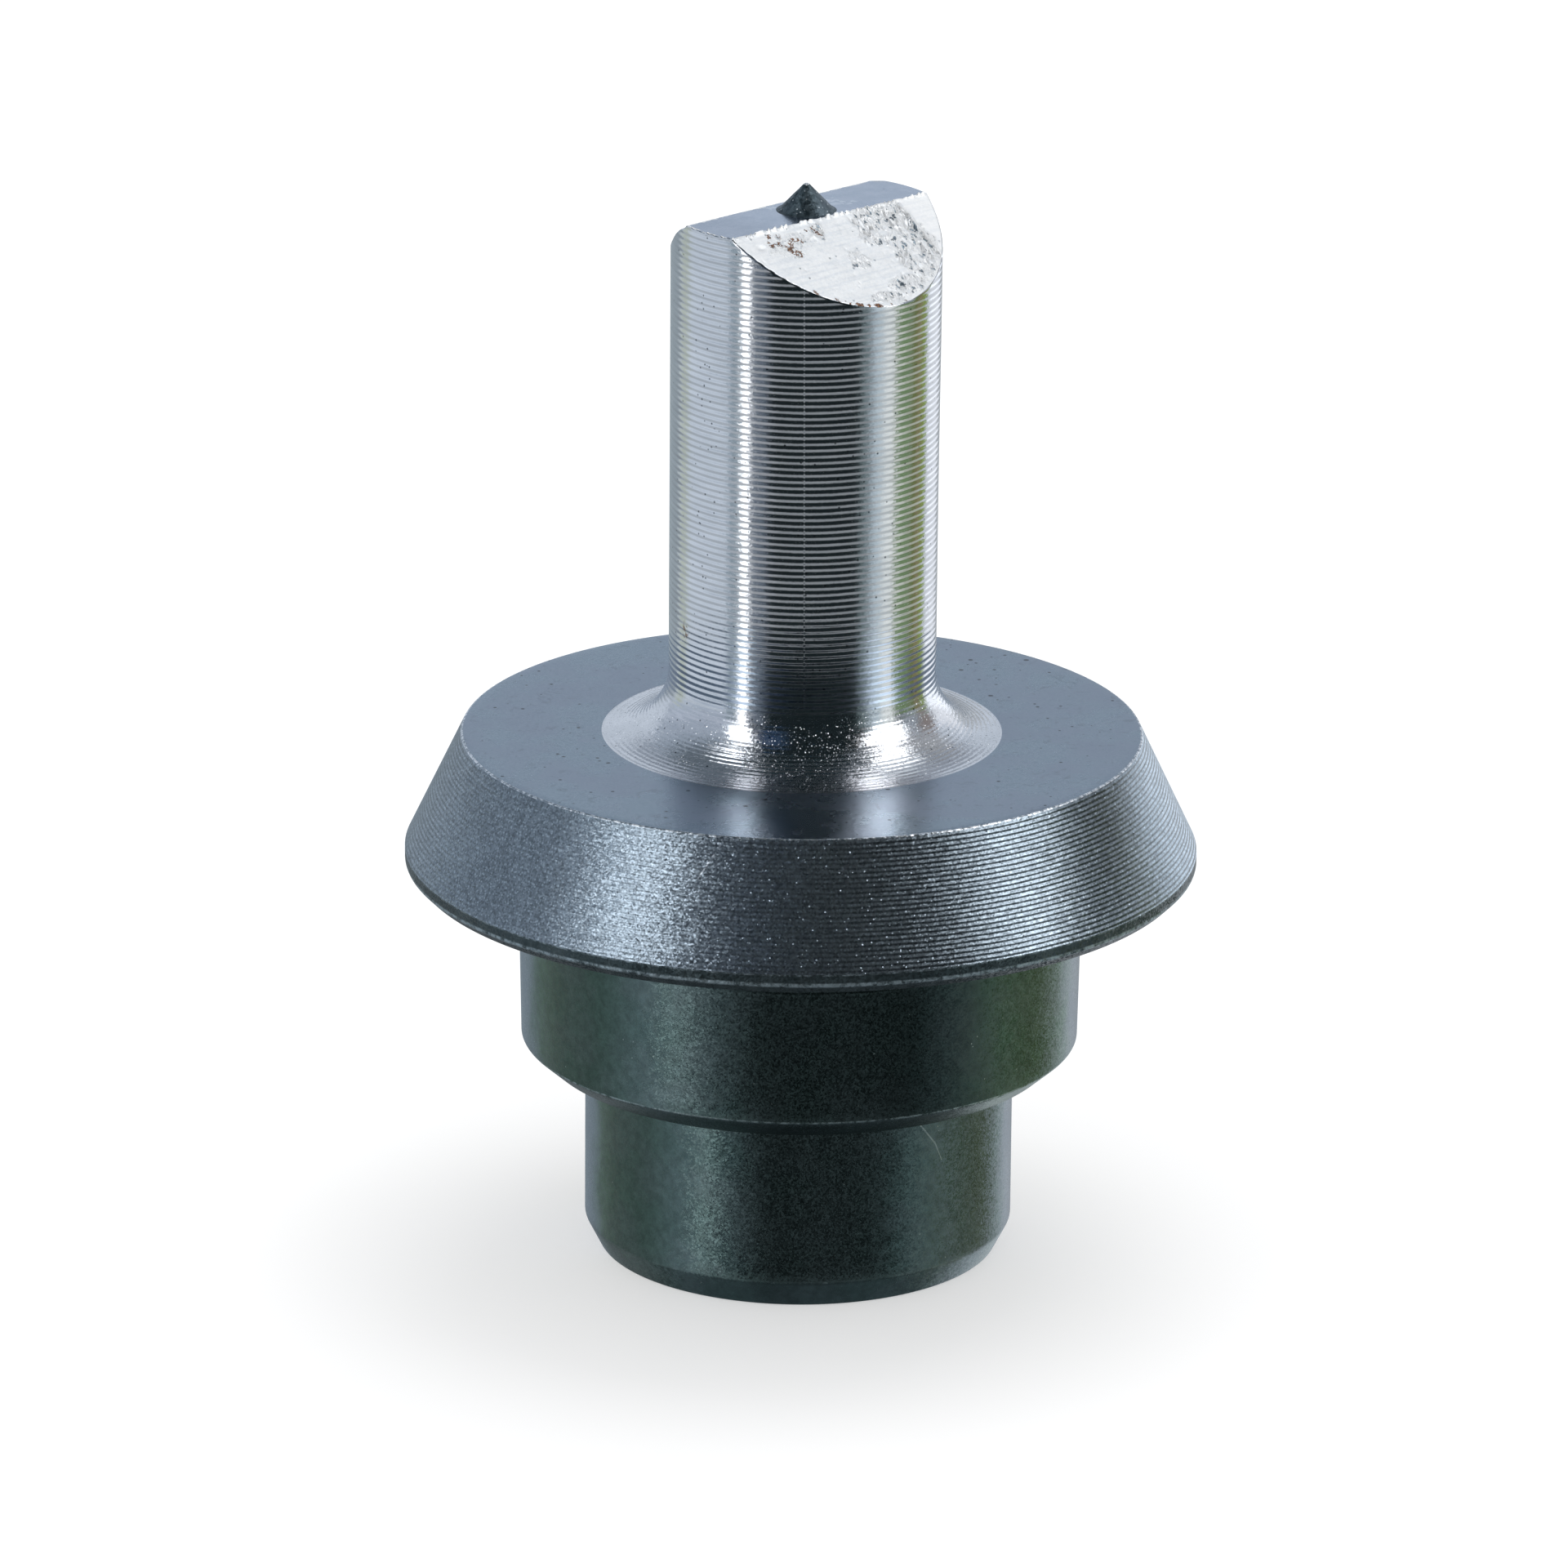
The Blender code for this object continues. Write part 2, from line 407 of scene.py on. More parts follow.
def torn_weight(points):
    """How torn the surface is near each point: 1 in the middle of a torn place, 0 away from it."""
    x, y, z = points.T
    weight = np.zeros(len(points))
    for cx, cy, rx, ry, *_ in TORN:
        weight = np.maximum(weight, np.exp(-((x - cx) / (1.6 * rx)) ** 2 - ((y - cy) / (1.6 * ry)) ** 2))
    (cx, cy), (rx, ry) = BACK_TORN, BACK_WEIGHT_REACH
    back = np.exp(-((x - cx) / rx) ** 2 - ((y - cy) / ry) ** 2)
    return np.clip(np.maximum(weight, 0.8 * back), 0, 1) * (z > LAND_Z - TORN_DOWN)


def rust_weight(points):
    """How rusty each point of the working end is, from a few specks and the foot of the front face."""
    x, y, z = points.T
    weight = np.zeros(len(points))
    top = (z > LAND_Z - RUST_DOWN)
    for cx, cy, size in RUST_SPECKS:
        weight += top * np.exp(-((x - cx) ** 2 + (y - cy) ** 2) / (size * size))
    r = np.hypot(x, y)
    rim = np.exp(-((r - RIM_R) / 0.09) ** 2) * top * (y < -4.2) * (r < BODY_R - 0.01)
    along = smooth(-4.4, -3.6, x) * smooth(0.9, 0.1, x)
    weight = np.clip(weight, 0, 1) + 2.6 * rim * along * np.clip(0.15 + 1.9 * TEETH(x / 0.17, 3.5), 0, 1)
    return np.clip(weight, 0, 2.4)


# The two meshes

class Builder:
    """Gathers the points and faces of one mesh."""

    def __init__(self):
        self.points = []
        self.faces = []
        self.finishes = []

    def add_points(self, rows):
        start = len(self.points)
        self.points.extend(tuple(p) for p in rows)
        return list(range(start, start + len(rows)))

    def add_face(self, indices, finish):
        self.faces.append(indices)
        self.finishes.append(finish)

    def add_ring(self, angles, r, z):
        z = np.broadcast_to(z, angles.shape)
        return self.add_points(np.column_stack([r * np.cos(angles), r * np.sin(angles), z]))

    def join_rings(self, low, high, finish):
        n = len(low)
        for k in range(n):
            m = (k + 1) % n
            self.add_face((low[k], low[m], high[m], high[k]), finish)


def build_holder():
    """The shank, the collar and the flange up to the foot of the fillet."""
    b = Builder()
    angles = np.arange(HOLDER_AROUND) * math.tau / HOLDER_AROUND
    centre = b.add_points([(0, 0, 0)])[0]
    profile = holder_profile()[1:]
    rings = [b.add_ring(angles, r, z) for r, z in profile]
    for k in range(HOLDER_AROUND):
        b.add_face((centre, rings[0][(k + 1) % HOLDER_AROUND], rings[0][k]), "oxide")
    for low, high, (r0, z0), (r1, z1) in zip(rings, rings[1:], profile, profile[1:]):
        b.join_rings(low, high, holder_finish(r0, z0, r1, z1))
    return b


def build_working_end():
    """The fillet, the body, the worn point and the spike."""
    b = Builder()
    rim = add_body(b, point_angles())
    add_point(b, rim)
    add_spike(b)
    return b


def add_body(b, angles):
    """The fillet and the body, ring by ring, up to the rim of the point, whose indices it gives."""
    rings = [b.add_ring(angles, r, z) for r, z in fillet_profile()]
    top_r = BODY_R - POINT_INSET + spread(angles, LAND_Z)
    edge_z = roof_height(top_r * np.cos(angles), top_r * np.sin(angles))
    start_z = FACE_Z + FILLET_R
    below, near, last = RIM_DROPS
    shares = np.linspace(1 / BODY_RINGS, 1, BODY_RINGS)
    heights = [start_z + (edge_z - below - start_z) * share for share in shares]
    for z in heights + [edge_z - near]:
        rings.append(b.add_ring(angles, BODY_R + spread(angles, z), z))
    rings.append(b.add_ring(angles, top_r + LAST_RING_SHARE * POINT_INSET, edge_z - last))
    rings.append(b.add_ring(angles, top_r, edge_z))
    for low, high in zip(rings, rings[1:]):
        b.join_rings(low, high, "turned")
    return rings[-1]


def add_point(b, rim):
    """The land and the two shear faces, in rows that cross the point from rim to rim."""
    count = len(rim) // 2
    share = np.linspace(0, 1, ACROSS + 1)[1:-1]
    rows = []
    for j in range(1, count):
        right, left = rim[j], rim[2 * count - j]
        x1, y1, _ = b.points[right]
        x0, y0, _ = b.points[left]
        x = x0 + (x1 - x0) * share
        y = y0 + (y1 - y0) * share
        inner = b.add_points(np.column_stack([x, y, roof_height(x, y)]))
        rows.append([left] + inner + [right])
    for low, high in zip(rows, rows[1:]):
        for i in range(ACROSS):
            b.add_face((low[i], low[i + 1], high[i + 1], high[i]), "point")
    bottom, top = rim[0], rim[count]
    for i in range(ACROSS):
        b.add_face((bottom, rows[0][i + 1], rows[0][i]), "point")
        b.add_face((top, rows[-1][i], rows[-1][i + 1]), "point")


def add_spike(b):
    """The centre spike as a turned, slightly uneven cone on a small foot fillet."""
    angles = np.arange(SPIKE_AROUND) * math.tau / SPIKE_AROUND
    profile = spike_profile()
    widest = profile[0][0]
    rings = []
    for r, z in profile:
        up = z - LAND_Z
        wobble = SPIKE_WOBBLE * FINE(angles * 5.0, up / 0.12) * min(1, max(0, up / 0.3))
        rings.append(b.add_ring(angles, np.minimum(r + wobble, widest), z))
    for low, high in zip(rings, rings[1:]):
        b.join_rings(low, high, "spike")
    tip = b.add_points([(0, 0, LAND_Z + SPIKE_HEIGHT)])[0]
    for k in range(SPIKE_AROUND):
        b.add_face((rings[-1][k], rings[-1][(k + 1) % SPIKE_AROUND], tip), "spike")


# Shader building blocks

class Nodes:
    """Short names for making and joining shader nodes."""

    def __init__(self, tree):
        self.tree = tree
        tree.nodes.clear()

    def add(self, kind, **settings):
        node = self.tree.nodes.new(kind)
        for name, value in settings.items():
            setattr(node, name, value)
        return node

    def link(self, value, socket):
        """Feed a socket from another one or with a constant. A colour has three parts."""
        if isinstance(value, bpy.types.NodeSocket):
            self.tree.links.new(value, socket)
        elif socket.type == "RGBA":
            socket.default_value = (*value, 1)
        else:
            socket.default_value = value

    def feed(self, node, *values):
        """Feed the first sockets of a node in turn."""
        for value, socket in zip(values, node.inputs):
            self.link(value, socket)
        return node.outputs[0]

    def math(self, operation, *values, clamp=False):
        return self.feed(self.add("ShaderNodeMath", operation=operation, use_clamp=clamp), *values)

    def chain(self, operation, result, *others):
        for value in others:
            result = self.math(operation, result, value)
        return result

    def plus(self, *values):
        return self.chain("ADD", *values)

    def minus(self, value, less):
        return self.math("SUBTRACT", value, less)

    def times(self, *values):
        return self.chain("MULTIPLY", *values)

    def most(self, *values):
        return self.chain("MAXIMUM", *values)

    def absolute(self, value):
        return self.math("ABSOLUTE", value)

    def vector(self, operation, *values):
        node = self.add("ShaderNodeVectorMath", operation=operation)
        self.feed(node, *values)
        return node.outputs["Value" if operation in ("DOT_PRODUCT", "LENGTH") else "Vector"]

    def dot(self, a, b):
        return self.vector("DOT_PRODUCT", a, b)

    def scale(self, vector, factor):
        node = self.add("ShaderNodeVectorMath", operation="SCALE")
        self.link(vector, node.inputs[0])
        self.link(factor, node.inputs["Scale"])
        return node.outputs["Vector"]

    def combine(self, x, y, z):
        return self.feed(self.add("ShaderNodeCombineXYZ"), x, y, z)

    def split(self, vector):
        """The three parts of a vector or of a colour."""
        node = self.add("ShaderNodeSeparateXYZ")
        self.feed(node, vector)
        return node.outputs

    def ramp(self, value, low, high, to_low=0, to_high=1, smooth_step=True):
        """One value below a limit, another above a second limit, and a soft change between."""
        node = self.add("ShaderNodeMapRange", interpolation_type="SMOOTHSTEP" if smooth_step else "LINEAR")
        return self.feed(node, value, low, high, to_low, to_high)

    def band(self, value, low, high, soft):
        """1 between two values, 0 outside them, with soft sides."""
        up = self.ramp(value, low - soft / 2, low + soft / 2)
        down = self.ramp(value, high - soft / 2, high + soft / 2, 1, 0)
        return self.times(up, down)

    def mix(self, factor, a, b):
        node = self.add("ShaderNodeMix", data_type="RGBA")
        self.link(factor, node.inputs["Factor"])
        self.link(a, node.inputs[6])
        self.link(b, node.inputs[7])
        return node.outputs[2]

    def blend(self, value, low, high, below, above):
        """The same as a ramp, between two colours."""
        return self.mix(self.ramp(value, low, high), below, above)

    def cover(self, colour, mask, share, paint):
        """A colour with a share of another laid over it where the mask is 1."""
        return self.mix(self.times(mask, share), colour, paint)

    def noise(self, vector, scale=1, detail=2, roughness=0.5, distortion=0):
        node = self.add("ShaderNodeTexNoise")
        self.link(vector, node.inputs["Vector"])
        for name, value in (("Scale", scale), ("Detail", detail), ("Roughness", roughness),
                            ("Distortion", distortion)):
            node.inputs[name].default_value = value
        return node.outputs[0]

    def cells(self, vector, scale=1):
        node = self.add("ShaderNodeTexVoronoi", feature="F1")
        self.link(vector, node.inputs["Vector"])
        node.inputs["Scale"].default_value = scale
        return node


class Surface:
    """A steel surface being described in millimetres: its places, its normal and its colour."""

    def __init__(self, name):
        self.material = bpy.data.materials.new(name)
        self.material.use_nodes = True
        self.n = Nodes(self.material.node_tree)
        n = self.n
        place = n.add("ShaderNodeTexCoord").outputs["Object"]
        self.p = n.scale(place, 1 / MM)
        self.x, self.y, self.z = n.split(self.p)
        self.r = n.vector("LENGTH", n.combine(self.x, self.y, 0))
        self.around = n.math("ARCTAN2", self.y, self.x)
        self.normal = n.add("ShaderNodeNewGeometry").outputs["Normal"]

    def rightward(self):
        """How far a place lies to the right of the axis for one who looks as the photo does."""
        return self.n.dot(self.p, VIEW_RIGHT)

    def stretched(self, across, along):
        """Coordinates for noise that runs round the axis: long round it, short along it."""
        n = self.n
        return n.combine(n.times(self.x, across), n.times(self.y, across), n.times(self.z, along))

    def groove_wave(self, height, feed, across=0, drift=0):
        """A wave with one crest for each turned groove, which drift a little from their true heights."""
        n = self.n
        if drift:
            strayed = n.noise(self.stretched(across, 0.8), 1, 1)
            height = n.plus(height, n.times(n.minus(strayed, 0.5), drift))
        return n.math("SINE", n.times(height, math.tau / feed))

    def lean(self, towards):
        """Lean the normal a little towards a vector."""
        n = self.n
        self.normal = n.vector("NORMALIZE", n.vector("ADD", self.normal, towards))

    def tilt(self, slope):
        """Lean the normal up or down the turned profile, as the sides of a turned groove do."""
        n = self.n
        outward = n.vector("NORMALIZE", n.combine(self.x, self.y, 0))
        level = n.dot(self.normal, outward)
        rise = n.dot(self.normal, (0, 0, 1))
        along = n.vector("SUBTRACT", n.combine(0, 0, level), n.scale(outward, rise))
        self.lean(n.scale(along, slope))

    def grain(self, size, amount):
        """Lean each small grain of the surface its own way."""
        n = self.n
        colour = n.cells(self.p, 1 / size).outputs["Color"]
        self.lean(n.scale(n.vector("SUBTRACT", colour, (0.5, 0.5, 0.5)), amount))

    def bump(self, height, distance):
        n = self.n
        node = n.add("ShaderNodeBump")
        node.inputs["Distance"].default_value = distance * MM
        n.link(height, node.inputs["Height"])
        n.link(self.normal, node.inputs["Normal"])
        self.normal = node.outputs[0]

    def dots(self, size, share, radius, seed):
        """1 on round dots in a share of the cells of one size, 0 elsewhere. The radius is in cells."""
        n = self.n
        moved = n.vector("ADD", self.p, (seed, seed * 0.7, seed * 1.3))
        node = n.cells(moved, 1 / size)
        chosen = n.math("LESS_THAN", n.split(node.outputs["Color"])[0], share)
        inside = n.ramp(node.outputs["Distance"], radius * 0.6, radius, 1, 0)
        return n.times(chosen, inside)

    def cell_value(self, size):
        n = self.n
        return n.split(n.cells(self.p, 1 / size).outputs["Color"])[0]

    def sparks(self, size, share, amount, where):
        """Lean a few small grains far over, so that they catch the lamps."""
        n = self.n
        moved = n.vector("ADD", self.p, (5, 3, 9))
        node = n.cells(moved, 1 / size)
        pick, sideways, onward = n.split(node.outputs["Color"])
        chosen = n.math("LESS_THAN", pick, share)
        inside = n.math("LESS_THAN", node.outputs["Distance"], SPARK_RADIUS)
        side = n.combine(n.minus(sideways, 0.5), n.minus(onward, 0.5), 0.1)
        self.lean(n.scale(side, n.times(chosen, inside, amount, where)))

    def edge_line(self, level, width, fill):
        """1 along a thin broken line round the axis at one height, 0 away from it."""
        n = self.n
        away = n.absolute(n.minus(self.z, level))
        line = n.ramp(away, width * 0.4, width, 1, 0)
        broken = n.ramp(n.noise(self.p, 2.6, 5, 0.75), fill, fill + 0.25)
        return n.times(line, broken)

    def weight(self, name):
        return self.n.add("ShaderNodeAttribute", attribute_name=name).outputs["Fac"]

    def segment(self, start, end, width):
        """1 along a straight mark between two places, 0 away from it."""
        n = self.n
        run = Vector(end) - Vector(start)
        away = n.vector("SUBTRACT", self.p, start)
        along = n.math("DIVIDE", n.dot(away, tuple(run)), run.length_squared, clamp=True)
        gap = n.vector("LENGTH", n.vector("SUBTRACT", away, n.scale(tuple(run), along)))
        return n.ramp(gap, width * 0.5, width, 1, 0)

    def rusted(self, colour):
        """Brown rust in a dark halo where the mesh says so, broken up by fine noise."""
        n = self.n
        broken = n.absolute(n.minus(n.noise(self.p, 3.4, 3, 0.6), 0.5))
        vein = n.ramp(broken, 0, 0.075, 1, 0, False)
        near = n.times(self.weight("rust"), n.plus(0.25, vein))
        colour = n.mix(n.ramp(near, 0.36, 0.47, 0, 0.6), colour, (0.1, 0.075, 0.06))
        amount = n.ramp(near, 0.48, 0.6)
        tint = n.blend(n.noise(self.p, 14, 2), 0.4, 0.6, (0.07, 0.025, 0.012), (0.3, 0.13, 0.05))
        return n.cover(colour, amount, 0.9, tint)

    def finish(self, colour, roughness, metallic):
        n = self.n
        shader = n.add("ShaderNodeBsdfPrincipled")
        for name, value in (("Base Color", colour), ("Roughness", roughness), ("Metallic", metallic),
                            ("Normal", self.normal)):
            n.link(value, shader.inputs[name])
        out = n.add("ShaderNodeOutputMaterial")
        n.link(shader.outputs[0], out.inputs[0])
        return self.material


# Steel finishes

# Turned grooves: how far apart they are, and how steep and how far out of true those of the body are
BODY_FEED = 0.29
BODY_GROOVE = 0.155
BODY_DRIFT = 0.05
FLANK_FEED = 0.1938
FLANK_DRIFT = 0.06
COLLAR_FEED = 0.24

# The fine seam up the body: its bearing at the foot, its turn for each millimetre of height, its tilt
SEAM_BEARING = 2.27
SEAM_TWIST = 0.00134
SEAM_TILT = -0.13

# A stain on the body, a scratch on the cone, a hair-fine mark on the shank, bright patches on the land
STAIN = (-5.84, 1.4, 29.8)
SCRATCH = ((-12.86, -8.61, 23.83), (-13.84, -8.28, 22.46))
HAIR = ((-1.49, -9.59, 8.28), (-0.65, -9.68, 7.24), (-0.25, -9.7, 6.36))
LAND_PATCHES = ((1.75, 0.35, 0.85), (-0.9, 1.25, 0.55), (2.3, -0.3, 0.5))

# How far from the middle of its cell a sparkling grain reaches, in cells
SPARK_RADIUS = 0.42

# Where the line of the raised ridge would pass the axis
RIDGE_AT_AXIS = 3.91

WHITE = (1, 1, 1)


def turned_steel():
    """Bright turned steel of the body, with feed grooves that fade into the smooth fillet."""
    s = Surface("turned_steel")
    n = s.n
    run = n.minus(s.z, n.times(n.minus(s.r, BODY_R), n.ramp(s.z, 29, 30, 1, 0)))
    wave = s.groove_wave(run, BODY_FEED, 0.25, BODY_DRIFT)
    uneven = n.ramp(n.noise(s.stretched(0.35, 9), 1, 2), 0.3, 0.7, 0.8, 1.25)
    fade_z = n.plus(s.z, n.times(n.noise(s.stretched(0.3, 0.3), 1, 1), 0.8))
    foot = n.ramp(s.z, 25.6, 24.7, 0.3, 0.95)
    strength = n.ramp(fade_z, 26.7, 27.7, foot, 1)
    s.tilt(n.times(n.times(wave, BODY_GROOVE), n.times(uneven, strength)))
    fine = n.noise(s.stretched(1.2, 26), 1, 3)
    s.bump(fine, 0.0014)
    s.grain(0.07, n.ramp(s.z, 26.6, 25, 0.035, 0.075))
    in_fillet = n.times(n.ramp(s.z, 27.6, 25.2), n.ramp(n.noise(s.p, 1.3, 2), 0.3, 0.55, 0.5, 1))
    s.sparks(0.048, 0.2, 1.8, in_fillet)

    seam = n.absolute(n.plus(s.around, n.plus(SEAM_BEARING, n.times(s.z, SEAM_TWIST))))
    seam = n.times(n.ramp(seam, 0.003, 0.006, 1, 0), n.ramp(s.z, 26.5, 28))
    s.tilt(n.times(seam, SEAM_TILT))

    cloud = n.noise(s.stretched(0.4, 2), 1, 2)
    colour = n.blend(cloud, 0.35, 0.7, (0.75, 0.755, 0.78), (0.83, 0.83, 0.855))
    # Painted shade: the colour is darker along the groove troughs of the body, fading out towards the
    # fillet.
    colour = n.scale(colour, n.ramp(wave, -1, 1, n.ramp(s.z, 25.5, 27.5, 1, 0.87), 1.02))
    pit = n.most(s.dots(0.45, 0.2, 0.13, 11), s.dots(0.25, 0.07, 0.2, 3))
    colour = n.cover(colour, pit, 0.85, (0.05, 0.06, 0.07))
    stain = n.vector("MULTIPLY", n.vector("SUBTRACT", s.p, STAIN), (1.6, 1.6, 1))
    stain = n.ramp(n.vector("LENGTH", stain), 0.25, 0.55, 1, 0)
    stain = n.times(stain, n.ramp(n.noise(s.p, 4.5, 3), 0.48, 0.56))
    colour = s.rusted(n.cover(colour, stain, 0.8, (0.22, 0.11, 0.05)))
    return s.finish(colour, n.ramp(fine, 0.3, 0.7, 0.12, 0.17), 1)


def face_steel():
    """Smooth blue-grey upper face of the flange, with faint mottling and small dark pits."""
    s = Surface("face_steel")
    n = s.n
    cloud = n.noise(s.p, 0.35, 4, 0.6)
    colour = n.blend(cloud, 0.35, 0.65, (0.295, 0.37, 0.435), (0.335, 0.39, 0.47))
    smudge = n.ramp(n.noise(s.p, 1.1, 3, 0.6, 1.5), 0.56, 0.7, 1, 0.84)
    colour = n.scale(colour, smudge)
    pit = n.most(s.dots(0.8, 0.35, 0.13, 5), s.dots(1.6, 0.5, 0.1, 21), s.dots(0.4, 0.1, 0.16, 33))
    colour = n.cover(colour, pit, 0.85, (0.03, 0.035, 0.04))
    s.grain(0.08, 0.05)
    rings = n.noise(n.combine(n.times(s.r, 9), n.times(s.around, 0.6), 0), 1, 2)
    s.bump(rings, 0.0006)
    return s.finish(colour, n.ramp(cloud, 0.3, 0.7, 0.25, 0.31), 1)


def flank_steel():
    """Dark turned cone of the flange, with fine circular lines broken into bright dots, and with painted
    highlights, shade and glints.
    """
    s = Surface("flank_steel")
    n = s.n
    wave = s.groove_wave(s.z, FLANK_FEED, 0.3, FLANK_DRIFT)
    broken = n.ramp(n.noise(s.stretched(2.2, 9), 1, 2), 0.35, 0.65, 0.6, 1.2)
    right = s.rightward()
    cut = n.ramp(right, -1, 7, 0.13, 0.29)
    s.tilt(n.times(wave, cut, broken))
    s.grain(0.068, n.ramp(right, 3, 8, 0.2, 0.15))
    s.sparks(0.09, 0.14, 0.75, n.ramp(right, -12, -8))

    colour = n.blend(n.noise(s.p, 0.5, 4, 0.6), 0.3, 0.7, (0.26, 0.305, 0.345), (0.295, 0.345, 0.39))
    colour = n.scale(colour, n.ramp(s.cell_value(0.09), 0, 1, 0.68, 1.38, False))
    # Painted highlight and shade: bands of the colour lighter or darker by how far left or right of the
    # axis they stand in the view, and the far right side brightened.
    painted_shade_bands = n.plus(n.times(n.band(right, -15.5, -9.5, 4), -0.16),
                  n.times(n.band(right, 11.6, 13.8, 1.6), -0.3))
    bright = n.plus(n.ramp(right, 13.8, 15.8, 0, 0.9), n.times(n.band(right, -9.5, -4.5, 4), 0.24),
                    n.times(n.band(right, 7.5, 11.5, 3), 0.24))
    colour = n.scale(colour, n.plus(1, n.plus(painted_shade_bands, bright)))
    # Painted glints: small light blue-grey dots scattered over the lines.
    colour = n.cover(colour, s.dots(0.12, 0.35, 0.5, 41), 0.6, (0.55, 0.64, 0.71))
    # Painted shade: the colour is darker in the groove troughs, much more so towards the right.
    colour = n.scale(colour, n.ramp(wave, -1, 0.6, n.ramp(right, -1, 7, 0.8, 0.32), 1))
    scratch = n.times(s.segment(*SCRATCH, 0.05), n.ramp(s.cell_value(0.1), 0.3, 0.5))
    colour = n.mix(scratch, colour, (0.8, 0.85, 0.9))
    return s.finish(colour, 0.31, 0.95)


def edge_steel():
    """Narrow rounded rim of the flange's upper face, partly worn steel and partly painted glints."""
    s = Surface("edge_steel")
    n = s.n
    s.grain(0.08, 0.3)
    # Painted glints: broken spots of near-white along the rim.
    colour = n.blend(n.noise(s.p, 5, 2), 0.42, 0.58, (0.38, 0.43, 0.48), (0.95, 0.97, 1))
    return s.finish(colour, 0.3, 1)


def lip_steel():
    """Narrow upright lip of the flange with its chamfer, with painted highlights along its lower and upper
    edges.
    """
    s = Surface("lip_steel")
    n = s.n
    colour = n.blend(n.noise(s.p, 0.8, 4, 0.6), 0.35, 0.65, (0.03, 0.045, 0.05), (0.055, 0.074, 0.08))
    # Painted highlight: a broken light line just above the chamfer.
    wear_and_edge_glint = s.edge_line(SEAT_Z + LIP_CHAMFER + 0.03, 0.14, 0.34)
    colour = n.mix(wear_and_edge_glint, colour, (0.27, 0.33, 0.36))
    # Painted highlight: a broken light line along the top edge.
    top = s.edge_line(LIP_TOP_Z - 0.02, 0.09, 0.4)
    colour = n.cover(colour, top, 0.7, (0.3, 0.36, 0.4))
    s.grain(0.08, 0.4)
    return s.finish(colour, 0.33, 0.8)


def oxide_painted_light(s, turned):
    """Painted highlight and shade as a factor on the oxide's colour, by side, limb and chamfer: turned is
    -1 at the left of the shank and 1 at its right.
    """
    n = s.n
    sheen_and_shade_factor = n.plus(1.1, n.times(n.band(turned, -0.62, -0.2, 0.26), 1.25))
    above = n.ramp(s.z, SHOULDER_Z - 0.2, SHOULDER_Z, -0.2, 0.35)
    sheen_and_shade_factor = n.minus(sheen_and_shade_factor, n.times(n.band(turned, 0.3, 0.62, 0.2), above))
    sheen_and_shade_factor = n.plus(sheen_and_shade_factor, n.ramp(turned, 0.58, 0.8, 0, 0.65), n.ramp(turned, -0.84, -0.97, 0, 1.4),
                    n.ramp(turned, 0.88, 0.98, 0, 0.9))
    lower = n.times(n.ramp(s.z, SHOULDER_Z, SHOULDER_Z - 0.2), n.ramp(turned, -0.2, 0.1))
    sheen_and_shade_factor = n.plus(sheen_and_shade_factor, n.times(lower, 0.3))
    on_chamfer = n.most(n.ramp(s.z, SHANK_CHAMFER[1], SHANK_CHAMFER[1] - 0.2),
                        n.band(s.z, SHOULDER_Z, SHOULDER_Z + COLLAR_CHAMFER[1], 0.1))
    return n.plus(sheen_and_shade_factor, n.times(on_chamfer, n.ramp(turned, -0.3, 0.3, 0.3, 0.9)))


